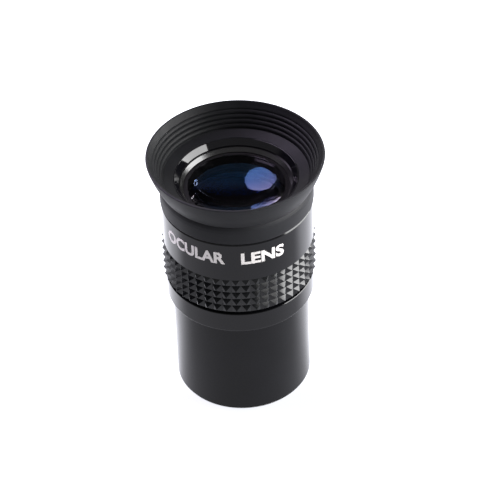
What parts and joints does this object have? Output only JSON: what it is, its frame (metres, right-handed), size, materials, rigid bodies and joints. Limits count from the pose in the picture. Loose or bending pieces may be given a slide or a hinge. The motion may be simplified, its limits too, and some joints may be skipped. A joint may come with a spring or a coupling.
{
  "type": "telescope eyepiece",
  "caption": "Telescope eyepiece with a push-fit barrel, a black metal housing with a knurled rubber grip, a flared fold-down rubber eyecup and cemented lens pairs inside.",
  "frame": {"origin": "centre of the barrel's open end, which it stands on", "axes": "+Z along the optical axis towards the eye; -Y is the side that faced the viewer"},
  "size_m": [0.0404, 0.0404, 0.064],
  "materials": {
    "satin_black_metal": "satin black anodised",
    "gloss_black_metal": "gloss black enamel over turned metal",
    "matte_black_metal": "dull black anodised against stray light",
    "grip_rubber": "moulded rubber with a slight shine",
    "eyecup_rubber": "soft matte rubber",
    "coated_flint_glass": "polished, with a blue anti-reflection coating",
    "crown_glass": "polished, clear"
  },
  "bodies": {
    "barrel": {"barrel": "satin_black_metal", "field_stop": "matte_black_metal"},
    "optics": {"eye_lens_flint": "coated_flint_glass", "eye_lens_crown": "crown_glass", "lens_spacer": "matte_black_metal", "field_lens_crown": "crown_glass", "field_lens_flint": "coated_flint_glass"},
    "head": {"housing": "gloss_black_metal", "lens_cell": "satin_black_metal", "lens_lock_ring": "matte_black_metal", "grip_ring": "grip_rubber", "eyecup_sleeve": "eyecup_rubber"},
    "eyecup": {"eyecup_flare": "eyecup_rubber"}
  },
  "joints": [
    {"name": "head_lift", "type": "slide", "parent": "barrel", "child": "optics", "axis": [0, 0, 1], "range_m": [0, 0.00375]},
    {"name": "head_turn", "type": "hinge", "parent": "optics", "child": "head", "pos_m": [0, 0, 0.0259], "axis": [0, 0, 1], "range_deg": [0, 1800]},
    {"name": "eyecup_fold", "type": "slide", "parent": "head", "child": "eyecup", "axis": [0, 0, -1], "range_m": [0, 0.0105], "deforming": ["eyecup_flare"]}
  ],
  "couplings": [
    {"joint": "head_lift", "follows": "head_turn", "m_per_rad": 0.00011937}
  ]
}
